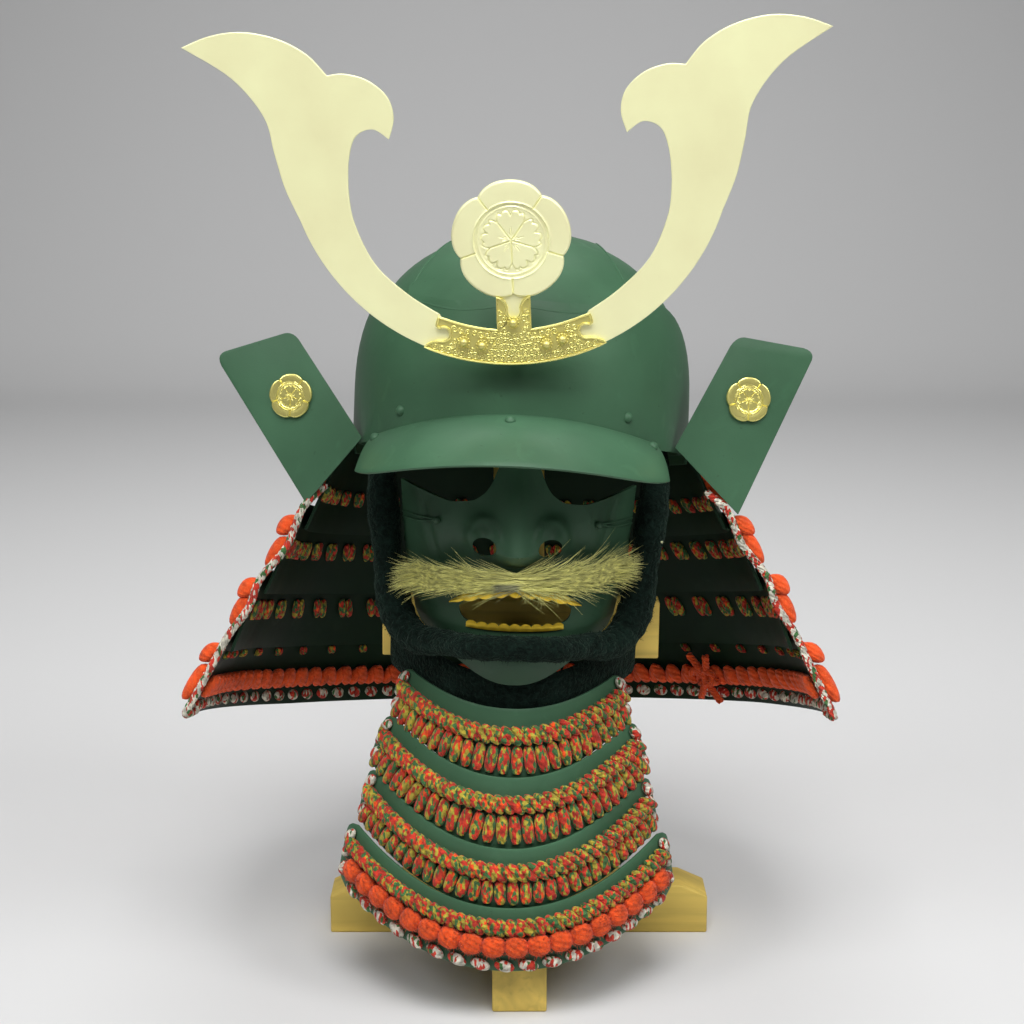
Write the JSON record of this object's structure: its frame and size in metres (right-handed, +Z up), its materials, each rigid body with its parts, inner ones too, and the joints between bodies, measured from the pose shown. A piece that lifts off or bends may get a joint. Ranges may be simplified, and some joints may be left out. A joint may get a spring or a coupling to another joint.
{
  "type": "kabuto samurai helmet with face guard on a stand",
  "caption": "Lacquered iron samurai helmet with gilded crest horns, laced neck guard, moustached face guard and throat guard, held on a plain wooden stand.",
  "frame": {"origin": "on the ground at the middle of the stand's crossing, under its post", "axes": "+Z up, -Y towards the front, +X towards the right of a person who looks at the front"},
  "size_m": [0.4166, 0.3438, 0.6045],
  "materials": {
    "lacquer": "semi-matte dark blue-green lacquer on iron",
    "pale_gold": "pale gilt copper, finely brushed",
    "gold": "yellow gilding on copper",
    "orange_cord": "matte flat-braided silk cord",
    "mottled_braid": "matte braid of red, green and ochre strands",
    "edge_braid": "matte braid of white, red and green strands",
    "velvet": "dark green pile",
    "moustache_hair": "straw-coloured horsehair",
    "pine": "planed, unvarnished"
  },
  "bodies": {
    "root": {"bowl_side_left": "lacquer", "bowl_side_right": "lacquer", "bowl_top_plate": "lacquer", "bowl_front_plate": "lacquer", "bowl_base_band": "lacquer", "peak": "lacquer", "peak_rivet_left": "lacquer", "peak_rivet_centre": "lacquer", "peak_rivet_right": "lacquer", "front_rivet_left": "lacquer", "front_rivet_right": "lacquer", "wing_left": "lacquer", "wing_badge_left": "gold", "wing_right": "lacquer", "wing_badge_right": "gold", "neck_lame_1": "lacquer", "neck_lame_2": "lacquer", "neck_lame_3": "lacquer", "neck_lame_4": "lacquer", "neck_lacing_1": "orange_cord", "neck_lacing_2": "orange_cord", "neck_lacing_3": "orange_cord", "neck_lacing_4": "orange_cord", "neck_rim_row": "orange_cord", "neck_edge_cord_left": "edge_braid", "neck_edge_cord_right": "edge_braid", "neck_rim_bow": "orange_cord", "mask": "lacquer", "upper_teeth": "gold", "lower_teeth": "gold", "moustache_left": "moustache_hair", "moustache_right": "moustache_hair", "chin_cord": "velvet", "throat_lame_1": "lacquer", "throat_lame_2": "lacquer", "throat_lame_3": "lacquer", "throat_lame_4": "lacquer", "throat_lacing_1": "mottled_braid", "throat_lacing_2": "mottled_braid", "throat_lacing_3": "mottled_braid", "throat_lacing_4": "orange_cord", "throat_backing": "velvet", "crest_horn_left": "pale_gold", "crest_horn_right": "pale_gold", "crest_holder": "gold", "crest_disc": "pale_gold", "crest_prong": "lacquer", "crest_stud_1": "gold", "crest_stud_2": "gold", "crest_stud_3": "gold", "crest_stud_4": "gold", "crest_stud_5": "gold", "stand_cross_beam": "pine", "stand_long_beam": "pine", "stand_post": "pine", "stand_shoulder_board": "pine", "stand_mask_arm": "pine", "stand_head_block": "pine"}
  },
  "joints": []
}
